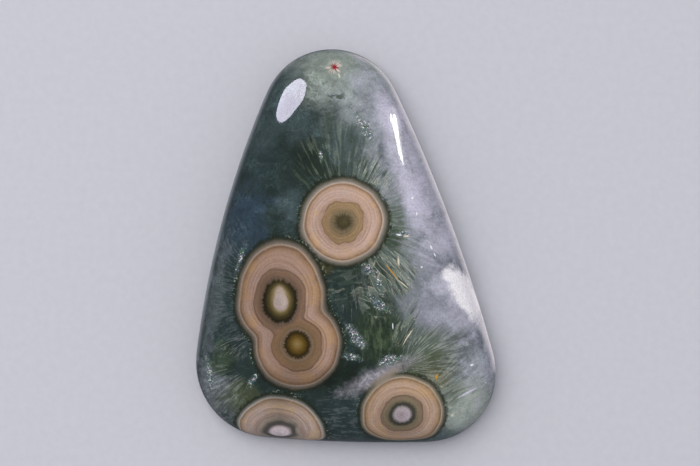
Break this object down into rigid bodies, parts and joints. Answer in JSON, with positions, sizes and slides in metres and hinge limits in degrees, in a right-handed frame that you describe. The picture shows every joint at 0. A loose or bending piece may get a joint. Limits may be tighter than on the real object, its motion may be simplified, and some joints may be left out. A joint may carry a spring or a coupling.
{
  "type": "ocean jasper cabochon",
  "caption": "Loose polished freeform cabochon of orbicular jasper, a rounded triangle with a domed face and a flat back, to set in jewellery or display.",
  "frame": {"origin": "on the flat back, below the middle of the stone's bounding box", "axes": "+Z out of the flat back through the dome, +Y towards the stone's narrow tip, +X to the right as seen from the front"},
  "size_m": [0.032, 0.042, 0.0088],
  "materials": {
    "jasper": "polished"
  },
  "bodies": {
    "root": {"cabochon": "jasper"}
  },
  "joints": []
}
